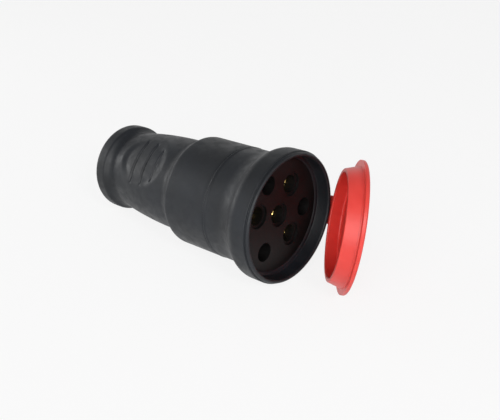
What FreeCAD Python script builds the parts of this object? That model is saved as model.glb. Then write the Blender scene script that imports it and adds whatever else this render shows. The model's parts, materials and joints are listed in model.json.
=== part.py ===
import FreeCAD, Part
import math
import os
import re

import Sketcher

# Three-pole inline socket connector: two rubber shells, a moulded insert with
# brass sleeves, a cord clamp inside the handle and a plastic cap on a strap.
#
# Every piece is drawn in the connector's own frame: Z runs back along the
# connector from the plane of the rim, X points up and Y to the side that the
# cap hangs on. The connector then lies down on its rim, its rear bead and the
# edge of the open cap, with its mouth along +X.

# Driving dimensions: millimetres and degrees.
DIMENSIONS = {
    # contacts, the moulded block round them and the screws between them
    "contact_circle": 16.5,
    "contact_axis_angle": 40.0,
    "contact_spread": 110.0,
    "block_margin": 9.9,
    "screw_set_out": 3.5,
    "screw_offset_angle": 60.0,
    # front shell
    "block_clearance": 1.0,
    "barrel_wall": 2.0,
    "collar_rise": 4.6,
    "collar_wall": 2.65,
    "collar_length": 9.0,
    "collar_sweep": 14.0,
    "sweep_share": 0.3,
    "lip_rounding": 0.9,
    "mouth_rounding": 0.6,
    "ledge_depth": 7.6,
    "ledge_width": 1.95,
    "rib_gap": 0.3,
    "seam_chamfer": 0.3,
    # rear handle
    "seam_step": 0.2,
    "spigot_length": 8.0,
    "spigot_gap": 0.1,
    "spigot_wall": 2.0,
    "rear_barrel_length": 25.9,
    "shoulder_rise": 0.3,
    "shoulder_sweep": 9.0,
    "neck_drop": 4.3,
    "neck_length": 43.5,
    "neck_taper": 3.5,
    "neck_arc_radius": 240.0,
    "neck_cavity_inset": 0.9,
    "cavity_taper": 7.0,
    "bead_rise": 2.7,
    "bead_sweep": 6.0,
    "bead_length": 13.0,
    "bead_rounding": 2.6,
    "entry_radius": 9.5,
    "entry_rounding": 1.5,
    "entry_length": 20.0,
    "entry_funnel": 13.0,
    # finger grips on the neck
    "grip_angle": -49.0,
    "grip_set_back": 19.9,
    "grip_half_length": 15.6,
    "grip_half_width": 12.0,
    "grip_depth": 1.1,
    "grip_flattening": 26.0,
    "groove_depth": 1.3,
    "groove_width": 3.0,
    "groove_floor": 1.6,
    "rear_groove_offset": 7.2,
    "rear_groove_length": 21.5,
    "middle_groove_offset": -1.4,
    "middle_groove_length": 19.5,
    "front_groove_offset": -9.0,
    "front_groove_length": 14.0,
    # socket insert and contact carrier
    "face_set_back": 0.6,
    "insert_gap": 0.15,
    "insert_flange": 4.0,
    "insert_depth": 12.0,
    "carrier_gap": 0.2,
    "carrier_ring": 4.4,
    "carrier_length": 11.8,
    "well_radius": 6.2,
    "well_depth": 1.2,
    "sleeve_hole_gap": 0.3,
    "carrier_hole_gap": 0.1,
    "screw_well_radius": 4.9,
    "screw_well_depth": 10.0,
    "screw_hole_gap": 0.4,
    "thread_gap": 0.05,
    # contact sleeves
    "sleeve_bore": 3.05,
    "sleeve_wall": 1.35,
    "sleeve_recess": 6.5,
    "sleeve_bore_depth": 17.0,
    "sleeve_tail": 11.0,
    "sleeve_chamfer": 0.5,
    "sleeve_flange_rise": 1.2,
    "sleeve_flange_length": 1.4,
    "sleeve_slot_width": 0.8,
    "sleeve_slot_length": 10.0,
    "spring_distance": 3.0,
    "spring_width": 2.0,
    "spring_thickness": 0.45,
    "spring_gap": 0.05,
    "spring_turn": 330.0,
    "wire_bore": 2.3,
    "wire_bore_depth": 10.0,
    "terminal_distance": 5.5,
    # screws
    "terminal_screw_radius": 1.7,
    "terminal_screw_length": 3.4,
    "terminal_head_radius": 2.6,
    "terminal_head_height": 1.4,
    "insert_screw_radius": 1.6,
    "insert_screw_length": 12.0,
    "insert_head_radius": 3.3,
    "insert_head_height": 2.2,
    "clamp_screw_radius": 1.6,
    "clamp_screw_length": 25.5,
    "clamp_head_radius": 2.7,
    "clamp_head_height": 1.8,
    "strap_screw_radius": 1.1,
    "strap_screw_length": 6.5,
    "strap_head_radius": 2.1,
    "strap_head_height": 1.2,
    "slot_width": 0.7,
    "slot_depth": 0.7,
    # cord clamp inside the handle
    "clamp_gap": 0.5,
    "clamp_sheet": 1.2,
    "clamp_leg_width": 7.0,
    "clamp_foot_length": 6.6,
    "clamp_plate_set_back": 11.0,
    "clamp_plate_gap": 0.5,
    "clamp_bar_length": 8.0,
    "clamp_bar_thickness": 3.5,
    "clamp_bar_inset": 1.0,
    "clamp_screw_inset": 3.3,
    # cap and its strap
    "cap_inset": 0.85,
    "cap_flange": 2.0,
    "cap_rounding": 0.9,
    "cap_panel": 1.7,
    "cap_gap": 0.1,
    "skirt_gap": 1.25,
    "skirt_taper": 2.0,
    "skirt_wall": 2.2,
    "skirt_depth": 7.0,
    "skirt_rounding": 0.7,
    "recess_rounding": 1.0,
    "cap_angle": 108.27,
    "cap_opening": 39.6,
    "hinge_reach": 6.4,
    "hinge_set_back": 8.8,
    "hinge_skew": -2.5,
    "hinge_web": 0.6,
    "hinge_gap": 1.35,
    "tab_reach": 2.7,
    "strap_width": 15.5,
    "strap_thickness": 1.8,
    "strap_bend": 13.6,
    "strap_foot_end": 22.5,
    "strap_screw_inset": 4.5,
    "strap_screw_spacing": 7.6,
    "boss_height": 2.2,
    "boss_side": 2.0,
    "boss_front": 11.2,
    "boss_end": 1.3,
    "boss_run_out": 5.0,
}

# Radii, from the contacts outwards.
BLOCK_RADIUS = "(contact_circle + block_margin)"
SCREW_CIRCLE = "(contact_circle + screw_set_out)"
BARREL_BORE = f"({BLOCK_RADIUS} + block_clearance)"
BARREL_RADIUS = f"({BARREL_BORE} + barrel_wall)"
RIM_RADIUS = f"({BARREL_RADIUS} + collar_rise)"
MOUTH_RADIUS = f"({RIM_RADIUS} - collar_wall)"
LEDGE_RADIUS = f"({MOUTH_RADIUS} - ledge_width)"
SPIGOT_RADIUS = f"({BARREL_BORE} - spigot_gap)"
HANDLE_BORE = f"({SPIGOT_RADIUS} - spigot_wall)"
SHOULDER_RADIUS = f"({BARREL_RADIUS} + shoulder_rise)"
NECK_FRONT_RADIUS = f"({SHOULDER_RADIUS} - neck_drop)"
NECK_REAR_RADIUS = f"({NECK_FRONT_RADIUS} - neck_taper)"
CAVITY_RADIUS = f"({NECK_REAR_RADIUS} - neck_cavity_inset)"
BEAD_RADIUS = f"({NECK_REAR_RADIUS} + bead_rise)"
SLEEVE_RADIUS = "(sleeve_bore + sleeve_wall)"
SLEEVE_FLANGE = f"({SLEEVE_RADIUS} + sleeve_flange_rise)"
SLEEVE_HOLE = f"({SLEEVE_RADIUS} + sleeve_hole_gap)"
CAP_RADIUS = f"({RIM_RADIUS} - cap_inset)"
SKIRT_RADIUS = f"({MOUTH_RADIUS} - skirt_gap)"
SKIRT_TIP_RADIUS = f"({SKIRT_RADIUS} - skirt_taper)"
HINGE_RADIUS = f"({RIM_RADIUS} + hinge_reach)"
BOSS_RADIUS = f"({RIM_RADIUS} + boss_height)"

# Distances behind the rim's plane, from the mouth backwards.
FACE_DEPTH = "(ledge_depth + face_set_back)"
SLEEVE_FRONT = f"({FACE_DEPTH} + sleeve_recess)"
SCREW_SEAT = f"({FACE_DEPTH} + screw_well_depth)"
SEAT_DEPTH = f"({FACE_DEPTH} + insert_flange)"
INSERT_REAR = f"({FACE_DEPTH} + insert_depth)"
SPIGOT_FRONT = f"({INSERT_REAR} + carrier_ring)"
CARRIER_REAR = f"({INSERT_REAR} + carrier_length)"
SEAM = f"({SPIGOT_FRONT} + spigot_length)"
SHOULDER_FRONT = f"({SEAM} + rear_barrel_length)"
SHOULDER_END = f"({SHOULDER_FRONT} + shoulder_sweep)"
GRIP_MIDDLE = f"({SHOULDER_END} + grip_set_back)"
BEAD_FRONT = f"({SHOULDER_END} + neck_length)"
REAR_END = f"({BEAD_FRONT} + bead_length)"
ENTRY_FRONT = f"({REAR_END} - entry_length)"
CLAMP_ROOM_END = f"({ENTRY_FRONT} - entry_funnel)"
CLAMP_PLATE = f"({CLAMP_ROOM_END} - clamp_plate_set_back)"

CLAMP_ANGLE = "(contact_axis_angle + screw_offset_angle / 2)"

doc = FreeCAD.newDocument("inline_socket_connector")
sheet = doc.addObject("Spreadsheet::Sheet", "Sizes")
for row, (alias, size) in enumerate(DIMENSIONS.items(), start=1):
    sheet.set(f"A{row}", alias.replace("_", " "))
    sheet.set(f"B{row}", str(size))
    sheet.setAlias(f"B{row}", alias)
doc.recompute()

ALIAS = re.compile(r"\b[a-z]+(?:_[a-z]+)+\b")
pieces = []


def formula(text):
    """Return an expression in which each alias names its cell of the sheet."""
    return ALIAS.sub(lambda found: "Sizes." + found.group(0), text)


def value(text):
    """Work out an expression as a plain number."""
    return float(sheet.evalExpression(formula(text)))


def bind(feature, field, text):
    """Tie one property of a feature to an expression of the sizes."""
    feature.setExpression(field, formula(text))


def new_body(label):
    """Add a body for one piece of the connector."""
    body = doc.addObject("PartDesign::Body", label)
    body.Label = label
    return body


def new_sketch(body, role):
    """Add a sketch on one of the body's own origin planes."""
    sketch = body.newObject("Sketcher::SketchObject", f"{body.Name}_sketch")
    plane = [part for part in body.Origin.OriginFeatures if part.Role == role][0]
    sketch.AttachmentSupport = [(plane, "")]
    sketch.MapMode = "FlatFace"
    return sketch


def pin_point(sketch, geometry, end, across, along):
    """Hold one end of a sketch edge at a place given by two expressions."""
    for kind, text in (("DistanceX", across), ("DistanceY", along)):
        index = sketch.addConstraint(Sketcher.Constraint(kind, -1, 1, geometry, end, value(text)))
        bind(sketch, f"Constraints[{index}]", text)


def draw_arc(sketch, start, finish, radius, turn):
    """Add the shorter arc between two points; turn is 1 to the left and -1 to the right."""
    chord = finish - start
    left = FreeCAD.Vector(-chord.y, chord.x, 0).normalize()
    rise = math.sqrt(max(radius ** 2 - (chord.Length / 2) ** 2, 0))
    centre = (start + finish) * 0.5 + left * (rise * turn)
    middle = centre - left * (radius * turn)
    ends = (start, finish) if turn > 0 else (finish, start)
    return sketch.addGeometry(Part.ArcOfCircle(ends[0], middle, ends[1]))


def draw_outline(sketch, corners):
    """Draw a closed outline. A corner is (across, along), and one that an arc
    leads to also holds the arc's radius and its turn."""
    places = [FreeCAD.Vector(value(corner[0]), value(corner[1]), 0) for corner in corners]
    edges = []
    for number, corner in enumerate(corners):
        start = places[number - 1]
        if len(corner) == 2:
            edge = sketch.addGeometry(Part.LineSegment(start, places[number]))
            edges.append((edge, 1, 2))
            continue
        radius, turn = corner[2:]
        edge = draw_arc(sketch, start, places[number], value(radius), turn)
        index = sketch.addConstraint(Sketcher.Constraint("Radius", edge, value(radius)))
        bind(sketch, f"Constraints[{index}]", radius)
        edges.append((edge, 1, 2) if turn > 0 else (edge, 2, 1))
    for number, (edge, _, last) in enumerate(edges):
        following, first, _ = edges[(number + 1) % len(edges)]
        sketch.addConstraint(Sketcher.Constraint("Coincident", edge, last, following, first))
        pin_point(sketch, edge, last, *corners[number][:2])


def draw_circle(sketch, across, along, radius):
    """Add a circle whose centre and radius follow the sizes."""
    centre = FreeCAD.Vector(value(across), value(along), 0)
    edge = sketch.addGeometry(Part.Circle(centre, FreeCAD.Vector(0, 0, 1), value(radius)))
    pin_point(sketch, edge, 3, across, along)
    index = sketch.addConstraint(Sketcher.Constraint("Radius", edge, value(radius)))
    bind(sketch, f"Constraints[{index}]", radius)


def rectangle(left, right, bottom, top):
    """Return the corners of an upright rectangle."""
    return [(left, bottom), (right, bottom), (right, top), (left, top)]


def ogee(start_across, start_along, end_across, end_along):
    """Return the corners of an S-curve of two tangent arcs between two radii of a
    turned profile. The arc on the larger radius is the smaller and rounds outwards."""
    drop = f"({start_across} - {end_across})"
    run = f"({end_along} - {start_along})"
    radii = f"(({drop} * {drop} + {run} * {run}) / (2 * abs({drop})))"
    falls = value(drop) > 0
    share = "sweep_share" if falls else "(1 - sweep_share)"
    middle = (f"{start_across} - {drop} * {share}", f"{start_along} + {run} * {share}")
    turns = (1, -1) if falls else (-1, 1)
    return [
        (*middle, f"{radii} * {share}", turns[0]),
        (end_across, end_along, f"{radii} * (1 - {share})", turns[1]),
    ]


def turn_profile(body, corners, angle="360"):
    """Turn a closed profile about the piece's own axis."""
    sketch = new_sketch(body, "XZ_Plane")
    draw_outline(sketch, corners)
    turned = body.newObject("PartDesign::Revolution", f"{body.Name}_turned")
    turned.Profile = sketch
    turned.ReferenceAxis = (sketch, ["V_Axis"])
    bind(turned, "Angle", angle)
    doc.recompute()
    return turned


def pad(body, role, corners, length, start="0", both_ways=False):
    """Raise a closed outline by a length from a plane of the body."""
    sketch = new_sketch(body, role)
    draw_outline(sketch, corners)
    bind(sketch, "AttachmentOffset.Base.z", start)
    raised = body.newObject("PartDesign::Pad", f"{body.Name}_pad")
    raised.Profile = sketch
    raised.Midplane = both_ways
    bind(raised, "Length", length)
    doc.recompute()
    return raised


def check_cut(body, before, name):
    """Stop when a cut has taken nothing off the piece."""
    doc.recompute()
    if body.Shape.Volume > before - 1e-3:
        raise RuntimeError(f"{name} of {body.Label} cut nothing")


def drill(body, places, radius, depth):
    """Cut round holes from the rim's plane to a depth behind it."""
    circles = [(across, along, radius) for across, along in places]
    cross_drill(body, "XY_Plane", circles, depth)


def cross_drill(body, role, circles, length, start="0", both_ways=False):
    """Cut round holes of a length away from a plane of the body."""
    before = body.Shape.Volume
    sketch = new_sketch(body, role)
    for across, along, radius in circles:
        draw_circle(sketch, across, along, radius)
    bind(sketch, "AttachmentOffset.Base.z", start)
    hole = body.newObject("PartDesign::Pocket", f"{body.Name}_hole")
    hole.Profile = sketch
    hole.Reversed = True
    hole.Midplane = both_ways
    bind(hole, "Length", length)
    check_cut(body, before, hole.Name)


def cut_slot(body, corners, start, depth, angle=None):
    """Cut a straight slot backwards, and its copy at an angle where one is given."""
    before = body.Shape.Volume
    sketch = new_sketch(body, "XY_Plane")
    draw_outline(sketch, corners)
    bind(sketch, "AttachmentOffset.Base.z", start)
    slot = body.newObject("PartDesign::Pocket", f"{body.Name}_slot")
    slot.Profile = sketch
    slot.Reversed = True
    bind(slot, "Length", depth)
    check_cut(body, before, slot.Name)
    if angle is not None:
        repeat(body, slot, 2, angle)


def repeat(body, feature, count, angle):
    """Repeat a cut about the piece's axis."""
    pattern = body.newObject("PartDesign::PolarPattern", f"{feature.Name}_ring")
    pattern.Originals = [feature]
    axis = [part for part in body.Origin.OriginFeatures if part.Role == "Z_Axis"][0]
    pattern.Axis = (axis, [""])
    pattern.Angle = angle
    pattern.Occurrences = count
    before = body.Shape.Volume
    body.Tip = pattern
    check_cut(body, before, pattern.Name)


def polar(radius, angle):
    """Return the two expressions of a point at a radius and an angle from straight up."""
    return f"{radius} * cos(({angle}) * 1deg)", f"{radius} * sin(({angle}) * 1deg)"


def turned_by(angle):
    """Return a placement turned about the connector's axis."""
    return FreeCAD.Placement(FreeCAD.Vector(), FreeCAD.Rotation(FreeCAD.Vector(0, 0, 1), angle))


def moved_by(across, along, back):
    """Return a placement moved in the connector's frame."""
    return FreeCAD.Placement(FreeCAD.Vector(across, along, back), FreeCAD.Rotation())


def keep(piece, placement=None):
    """Take a finished piece with its place in the connector's frame."""
    pieces.append((piece, placement or FreeCAD.Placement()))


# Front shell
# One rubber moulding: the collar round the mouth, the sweep down to the barrel,
# and an inner rib that the insert and the carrier are drawn together on. Its X
# points at the strap's boss.
front_shell = new_body("front_shell")
turn_profile(front_shell, [
    (MOUTH_RADIUS, "mouth_rounding"),
    (f"{MOUTH_RADIUS} + mouth_rounding", "0", "mouth_rounding", 1),
    (f"{RIM_RADIUS} - lip_rounding", "0"),
    (RIM_RADIUS, "lip_rounding", "lip_rounding", 1),
    (RIM_RADIUS, "collar_length"),
    *ogee(RIM_RADIUS, "collar_length", BARREL_RADIUS, "(collar_length + collar_sweep)"),
    (BARREL_RADIUS, f"{SEAM} - seam_chamfer"),
    (f"{BARREL_RADIUS} - seam_chamfer", SEAM),
    (BARREL_BORE, SEAM),
    (BARREL_BORE, INSERT_REAR),
    (f"{BLOCK_RADIUS} + rib_gap", INSERT_REAR),
    (f"{BLOCK_RADIUS} + rib_gap", SEAT_DEPTH),
    (LEDGE_RADIUS, SEAT_DEPTH),
    (LEDGE_RADIUS, "ledge_depth"),
    (MOUTH_RADIUS, "ledge_depth"),
])
pad(front_shell, "XZ_Plane", [
    (f"{MOUTH_RADIUS} + insert_gap", "boss_front"),
    (f"{BOSS_RADIUS} - lip_rounding", "boss_front"),
    (BOSS_RADIUS, "boss_front + lip_rounding", "lip_rounding", 1),
    (BOSS_RADIUS, "strap_foot_end + boss_end"),
    (f"{BARREL_BORE} + insert_gap", "strap_foot_end + boss_end + boss_run_out"),
    (f"{BARREL_BORE} + insert_gap", f"{SEAT_DEPTH} + lip_rounding"),
    (f"{MOUTH_RADIUS} + insert_gap", f"{SEAT_DEPTH} + lip_rounding"),
], "strap_width + 2 * boss_side", both_ways=True)
strap_screw_places = [(f"{side} * strap_screw_spacing / 2", "strap_foot_end - strap_screw_inset",
                       "strap_screw_radius + thread_gap") for side in (-1, 1)]
cross_drill(front_shell, "YZ_Plane", strap_screw_places, "strap_screw_length",
            f"{BOSS_RADIUS} + strap_thickness - strap_screw_length")
keep(front_shell, turned_by(value("cap_angle")))

# Rear handle
# One rubber moulding: a spigot in the front shell, the rest of the barrel, the
# neck with two finger grips and the bead round the cord's entry. Its X points
# along the grips, so that they lie on its two sides.
handle = new_body("handle_moulding")
turn_profile(handle, [
    (HANDLE_BORE, SPIGOT_FRONT),
    (SPIGOT_RADIUS, SPIGOT_FRONT),
    (SPIGOT_RADIUS, SEAM),
    (f"{BARREL_RADIUS} + seam_step - seam_chamfer", SEAM),
    (f"{BARREL_RADIUS} + seam_step", f"{SEAM} + seam_chamfer"),
    (SHOULDER_RADIUS, SHOULDER_FRONT),
    *ogee(SHOULDER_RADIUS, SHOULDER_FRONT, NECK_FRONT_RADIUS, SHOULDER_END),
    (NECK_REAR_RADIUS, BEAD_FRONT, "neck_arc_radius", 1),
    *ogee(NECK_REAR_RADIUS, BEAD_FRONT, BEAD_RADIUS, f"({BEAD_FRONT} + bead_sweep)"),
    (BEAD_RADIUS, f"{REAR_END} - bead_rounding"),
    (f"{BEAD_RADIUS} - bead_rounding", REAR_END, "bead_rounding", 1),
    ("entry_radius + entry_rounding", REAR_END),
    ("entry_radius", f"{REAR_END} - entry_rounding", "entry_rounding", 1),
    ("entry_radius", ENTRY_FRONT),
    (CAVITY_RADIUS, CLAMP_ROOM_END),
    (CAVITY_RADIUS, f"{SHOULDER_FRONT} + cavity_taper"),
    (HANDLE_BORE, SHOULDER_FRONT),
])


def neck_radius(distance):
    """Return the expression of the neck's radius at a distance behind the rim."""
    half_chord = "(sqrt(neck_length * neck_length + neck_taper * neck_taper) / 2)"
    rise = f"sqrt(neck_arc_radius * neck_arc_radius - {half_chord} * {half_chord})"
    lean = f"({rise} / {half_chord} / 2)"
    centre_radius = f"({NECK_FRONT_RADIUS} - neck_taper / 2 - {lean} * neck_length)"
    centre_along = f"({SHOULDER_END} + neck_length / 2 - {lean} * neck_taper)"
    offset = f"({distance} - {centre_along})"
    return f"({centre_radius} + sqrt(neck_arc_radius * neck_arc_radius - {offset} * {offset}))"


# Each groove runs straight across the flatter floor of the grip, so that it
# fades out where the neck curves away from it.
for place in ("rear", "middle", "front"):
    distance = f"({GRIP_MIDDLE} + {place}_groove_offset)"
    outside = f"({neck_radius(distance)} + groove_depth)"
    floor = f"({neck_radius(distance)} - grip_depth - groove_depth)"
    before_groove = handle.Shape.Volume
    groove_sketch = new_sketch(handle, "YZ_Plane")
    draw_outline(groove_sketch, [
        (floor, f"{distance} - groove_floor / 2"),
        (outside, f"{distance} - groove_width"),
        (outside, f"{distance} + groove_width"),
        (floor, f"{distance} + groove_floor / 2"),
    ])
    groove = handle.newObject("PartDesign::Pocket", f"{place}_groove")
    groove.Profile = groove_sketch
    groove.Midplane = True
    bind(groove, "Length", f"{place}_groove_length")
    check_cut(handle, before_groove, groove.Name)
    repeat(handle, groove, 2, 360)

# The grips' floors follow the neck's length but curve less across it: an oval
# prism less what two wider cores, set off to either side, have in common.
for side in (-1, 1):
    core = new_body("grip_core_near" if side < 0 else "grip_core_far")
    turn_profile(core, [
        ("0", SHOULDER_END),
        (f"{NECK_FRONT_RADIUS} - grip_depth + grip_flattening", SHOULDER_END),
        (f"{NECK_REAR_RADIUS} - grip_depth + grip_flattening", BEAD_FRONT, "neck_arc_radius", 1),
        ("0", BEAD_FRONT),
    ])
    core.Placement.Base.y = side * value("grip_flattening")
    bind(core, "Placement.Base.y", f"{side} * grip_flattening")
grip_core = doc.addObject("Part::Common", "grip_core")
grip_core.Base = doc.getObject("grip_core_near")
grip_core.Tool = doc.getObject("grip_core_far")
grip_oval = doc.addObject("Part::Ellipse", "grip_oval")
bind(grip_oval, "MajorRadius", "grip_half_length")
bind(grip_oval, "MinorRadius", "grip_half_width")
grip_oval.Placement = FreeCAD.Placement(
    FreeCAD.Vector(0, 0, value(GRIP_MIDDLE)),
    FreeCAD.Rotation(FreeCAD.Vector(0, 0, 1), FreeCAD.Vector(1, 0, 0), FreeCAD.Vector(0, 1, 0), "ZXY"),
)
bind(grip_oval, "Placement.Base.z", GRIP_MIDDLE)
grip_prism = doc.addObject("Part::Extrusion", "grip_prism")
grip_prism.Base = grip_oval
grip_prism.DirMode = "Custom"
grip_prism.Dir = FreeCAD.Vector(0, 1, 0)
grip_prism.Solid = True
grip_prism.Symmetric = True
bind(grip_prism, "LengthFwd", f"2 * {RIM_RADIUS}")
grips = doc.addObject("Part::Cut", "grips")
grips.Base = grip_prism
grips.Tool = grip_core
rear_handle = doc.addObject("Part::Cut", "rear_handle")
rear_handle.Label = "rear_handle"
rear_handle.Base = handle
rear_handle.Tool = grips
doc.recompute()
if rear_handle.Shape.Volume > handle.Shape.Volume - 1:
    raise RuntimeError("the grips cut nothing")
keep(rear_handle, turned_by(value("grip_angle") + 90))

# Socket insert
# One moulding behind the mouth's ledge: four wells with a hole for each sleeve
# and three deeper plain wells for the screws.
contact_places = {
    "centre": ("0", "0"),
    "top": polar("contact_circle", "contact_axis_angle"),
    "near": polar("contact_circle", "contact_axis_angle - contact_spread"),
    "low": polar("contact_circle", "contact_axis_angle + contact_spread"),
}
screw_angles = [f"contact_axis_angle + {turn} * screw_offset_angle" for turn in (1, 3, 5)]
screw_places = [polar(SCREW_CIRCLE, angle) for angle in screw_angles]
socket_insert = new_body("socket_insert")
turn_profile(socket_insert, [
    ("0", FACE_DEPTH),
    (f"{LEDGE_RADIUS} - insert_gap", FACE_DEPTH),
    (f"{LEDGE_RADIUS} - insert_gap", SEAT_DEPTH),
    (BLOCK_RADIUS, SEAT_DEPTH),
    (BLOCK_RADIUS, INSERT_REAR),
    ("0", INSERT_REAR),
])
drill(socket_insert, contact_places.values(), "well_radius", f"{FACE_DEPTH} + well_depth")
drill(socket_insert, contact_places.values(), SLEEVE_HOLE, f"{INSERT_REAR} + insert_gap")
drill(socket_insert, screw_places, "screw_well_radius", SCREW_SEAT)
drill(socket_insert, screw_places, "insert_screw_radius + screw_hole_gap", f"{INSERT_REAR} + insert_gap")
keep(socket_insert)

# Contact carrier
# The second moulding, behind the shell's rib: it traps the sleeves' flanges and
# takes the insert's screws.
contact_carrier = new_body("contact_carrier")
turn_profile(contact_carrier, [
    ("0", INSERT_REAR),
    (f"{BARREL_BORE} - carrier_gap", INSERT_REAR),
    (f"{BARREL_BORE} - carrier_gap", SPIGOT_FRONT),
    (f"{HANDLE_BORE} - carrier_gap", SPIGOT_FRONT),
    (f"{HANDLE_BORE} - carrier_gap", CARRIER_REAR),
    ("0", CARRIER_REAR),
])
drill(contact_carrier, contact_places.values(), f"{SLEEVE_FLANGE} + carrier_hole_gap",
      f"{INSERT_REAR} + sleeve_flange_length")
drill(contact_carrier, contact_places.values(), f"{SLEEVE_RADIUS} + carrier_hole_gap",
      f"{CARRIER_REAR} + insert_gap")
drill(contact_carrier, screw_places, "insert_screw_radius + thread_gap", f"{CARRIER_REAR} + insert_gap")
keep(contact_carrier)


def make_screw(label, kind, head):
    """Build a slotted screw. Its head's underside is at zero and its shank runs back."""
    screw = new_body(label)
    turn_profile(screw, [
        ("0", f"-{head}_head_height"),
        (f"{head}_head_radius - {head}_head_height / 2", f"-{head}_head_height"),
        (f"{head}_head_radius", f"-{head}_head_height / 2"),
        (f"{head}_head_radius", "0"),
        (f"{kind}_radius", "0"),
        (f"{kind}_radius", f"{kind}_length - {kind}_radius / 2"),
        (f"{kind}_radius / 2", f"{kind}_length"),
        ("0", f"{kind}_length"),
    ])
    reach = f"{head}_head_radius * 2"
    cut_slot(screw, rectangle(f"-{reach}", reach, "-slot_width / 2", "slot_width / 2"),
             f"-{head}_head_height * 2", f"{head}_head_height + slot_depth")
    return screw


# Contact sleeves
# Each is turned from brass: a slotted bore for a pin in front, a flange in the
# carrier, and a terminal behind it with a bore for the wire and a cross screw.
FLANGE_FRONT = f"({INSERT_REAR} - {SLEEVE_FRONT})"
SLEEVE_LENGTH = f"({CARRIER_REAR} + sleeve_tail - {SLEEVE_FRONT})"
TERMINAL = f"({CARRIER_REAR} + terminal_distance - {SLEEVE_FRONT})"
GROOVE_RADIUS = f"({SLEEVE_RADIUS} - spring_thickness)"
terminal_angles = {
    "centre": "contact_axis_angle + screw_offset_angle",
    "top": "contact_axis_angle",
    "near": "contact_axis_angle - contact_spread",
    "low": "contact_axis_angle + contact_spread",
}
for name, (across, along) in contact_places.items():
    spot = moved_by(value(across), value(along), value(SLEEVE_FRONT))
    facing = turned_by(value(terminal_angles[name]))
    sleeve = new_body(f"contact_sleeve_{name}")
    turn_profile(sleeve, [
        ("sleeve_bore", "sleeve_chamfer"),
        ("sleeve_bore + sleeve_chamfer", "0"),
        (SLEEVE_RADIUS, "0"),
        (SLEEVE_RADIUS, "spring_distance"),
        (GROOVE_RADIUS, "spring_distance"),
        (GROOVE_RADIUS, "spring_distance + spring_width + 2 * spring_gap"),
        (SLEEVE_RADIUS, "spring_distance + spring_width + 2 * spring_gap"),
        (SLEEVE_RADIUS, FLANGE_FRONT),
        (SLEEVE_FLANGE, FLANGE_FRONT),
        (SLEEVE_FLANGE, f"{FLANGE_FRONT} + sleeve_flange_length"),
        (SLEEVE_RADIUS, f"{FLANGE_FRONT} + sleeve_flange_length"),
        (SLEEVE_RADIUS, SLEEVE_LENGTH),
        ("wire_bore", SLEEVE_LENGTH),
        ("wire_bore", f"{SLEEVE_LENGTH} - wire_bore_depth"),
        ("0", f"{SLEEVE_LENGTH} - wire_bore_depth"),
        ("0", "sleeve_bore_depth"),
        ("sleeve_bore", "sleeve_bore_depth"),
    ])
    cut_slot(sleeve, rectangle(f"-{SLEEVE_FLANGE}", SLEEVE_FLANGE,
                               "-sleeve_slot_width / 2", "sleeve_slot_width / 2"),
             "-sleeve_chamfer", "sleeve_slot_length + sleeve_chamfer", 90)
    cross_drill(sleeve, "YZ_Plane", [("0", TERMINAL, "terminal_screw_radius + thread_gap")],
                SLEEVE_FLANGE)
    keep(sleeve, spot.multiply(facing))

    spring = new_body(f"sleeve_spring_{name}")
    turn_profile(spring, rectangle(f"{GROOVE_RADIUS} + spring_gap", SLEEVE_RADIUS,
                                   "spring_distance + spring_gap",
                                   "spring_distance + spring_width + spring_gap"), "spring_turn")
    keep(spring, spot.multiply(facing))

    screw = make_screw(f"terminal_screw_{name}", "terminal_screw", "terminal")
    inwards = FreeCAD.Rotation(FreeCAD.Vector(0, 0, 1), FreeCAD.Vector(-1, 0, 0))
    seat = FreeCAD.Placement(FreeCAD.Vector(value(SLEEVE_RADIUS), 0, value(TERMINAL)), inwards)
    keep(screw, spot.multiply(facing).multiply(seat))

# Screws that hold the insert
for number, (across, along) in enumerate(screw_places, start=1):
    screw = make_screw(f"insert_screw_{number}", "insert_screw", "insert")
    keep(screw, moved_by(value(across), value(along), value(SCREW_SEAT)))

# Cord clamp
# A pressed steel frame stands on the carrier: two legs, a plate that the cord
# passes through and a fixed bar. The saddle closes on the cord from the other side.
CLAMP_RADIUS = f"({CAVITY_RADIUS} - clamp_gap)"
LEG_INSIDE = f"({CLAMP_RADIUS} - clamp_sheet)"
LEG_OUTSIDE = f"sqrt({CLAMP_RADIUS} * {CLAMP_RADIUS} - clamp_leg_width * clamp_leg_width / 4)"
BAR_FRONT = f"({CLAMP_PLATE} + clamp_sheet)"
BAR_MIDDLE = f"({BAR_FRONT} + clamp_bar_length / 2)"
BAR_OUTSIDE = "(entry_radius + clamp_bar_thickness)"
BAR_REACH = f"(sqrt({CLAMP_RADIUS} * {CLAMP_RADIUS} - {BAR_OUTSIDE} * {BAR_OUTSIDE}) - clamp_bar_inset)"
clamp_frame = new_body("cord_clamp_frame")
turn_profile(clamp_frame, rectangle("entry_radius + clamp_plate_gap", CLAMP_RADIUS, CLAMP_PLATE, BAR_FRONT))
half_leg = ("-clamp_leg_width / 2", "clamp_leg_width / 2")
for side in (-1, 1):
    pad(clamp_frame, "XY_Plane",
        rectangle(f"{side} * {LEG_INSIDE}", f"{side} * {LEG_OUTSIDE}", *half_leg),
        f"{CLAMP_PLATE} - {CARRIER_REAR}", CARRIER_REAR)
    pad(clamp_frame, "XY_Plane",
        rectangle(f"{side} * ({CLAMP_RADIUS} - clamp_foot_length)", f"{side} * {LEG_INSIDE}", *half_leg),
        "clamp_sheet", CARRIER_REAR)
pad(clamp_frame, "XY_Plane",
    rectangle(f"-{BAR_REACH}", BAR_REACH, f"-{BAR_OUTSIDE}", "-entry_radius"),
    "clamp_bar_length", BAR_FRONT)
clamp_saddle = new_body("cord_clamp_saddle")
pad(clamp_saddle, "XY_Plane",
    rectangle(f"-{BAR_REACH}", BAR_REACH, "entry_radius", BAR_OUTSIDE),
    "clamp_bar_length", BAR_FRONT)
SCREW_REACH = f"({BAR_REACH} - clamp_screw_inset)"
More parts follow.
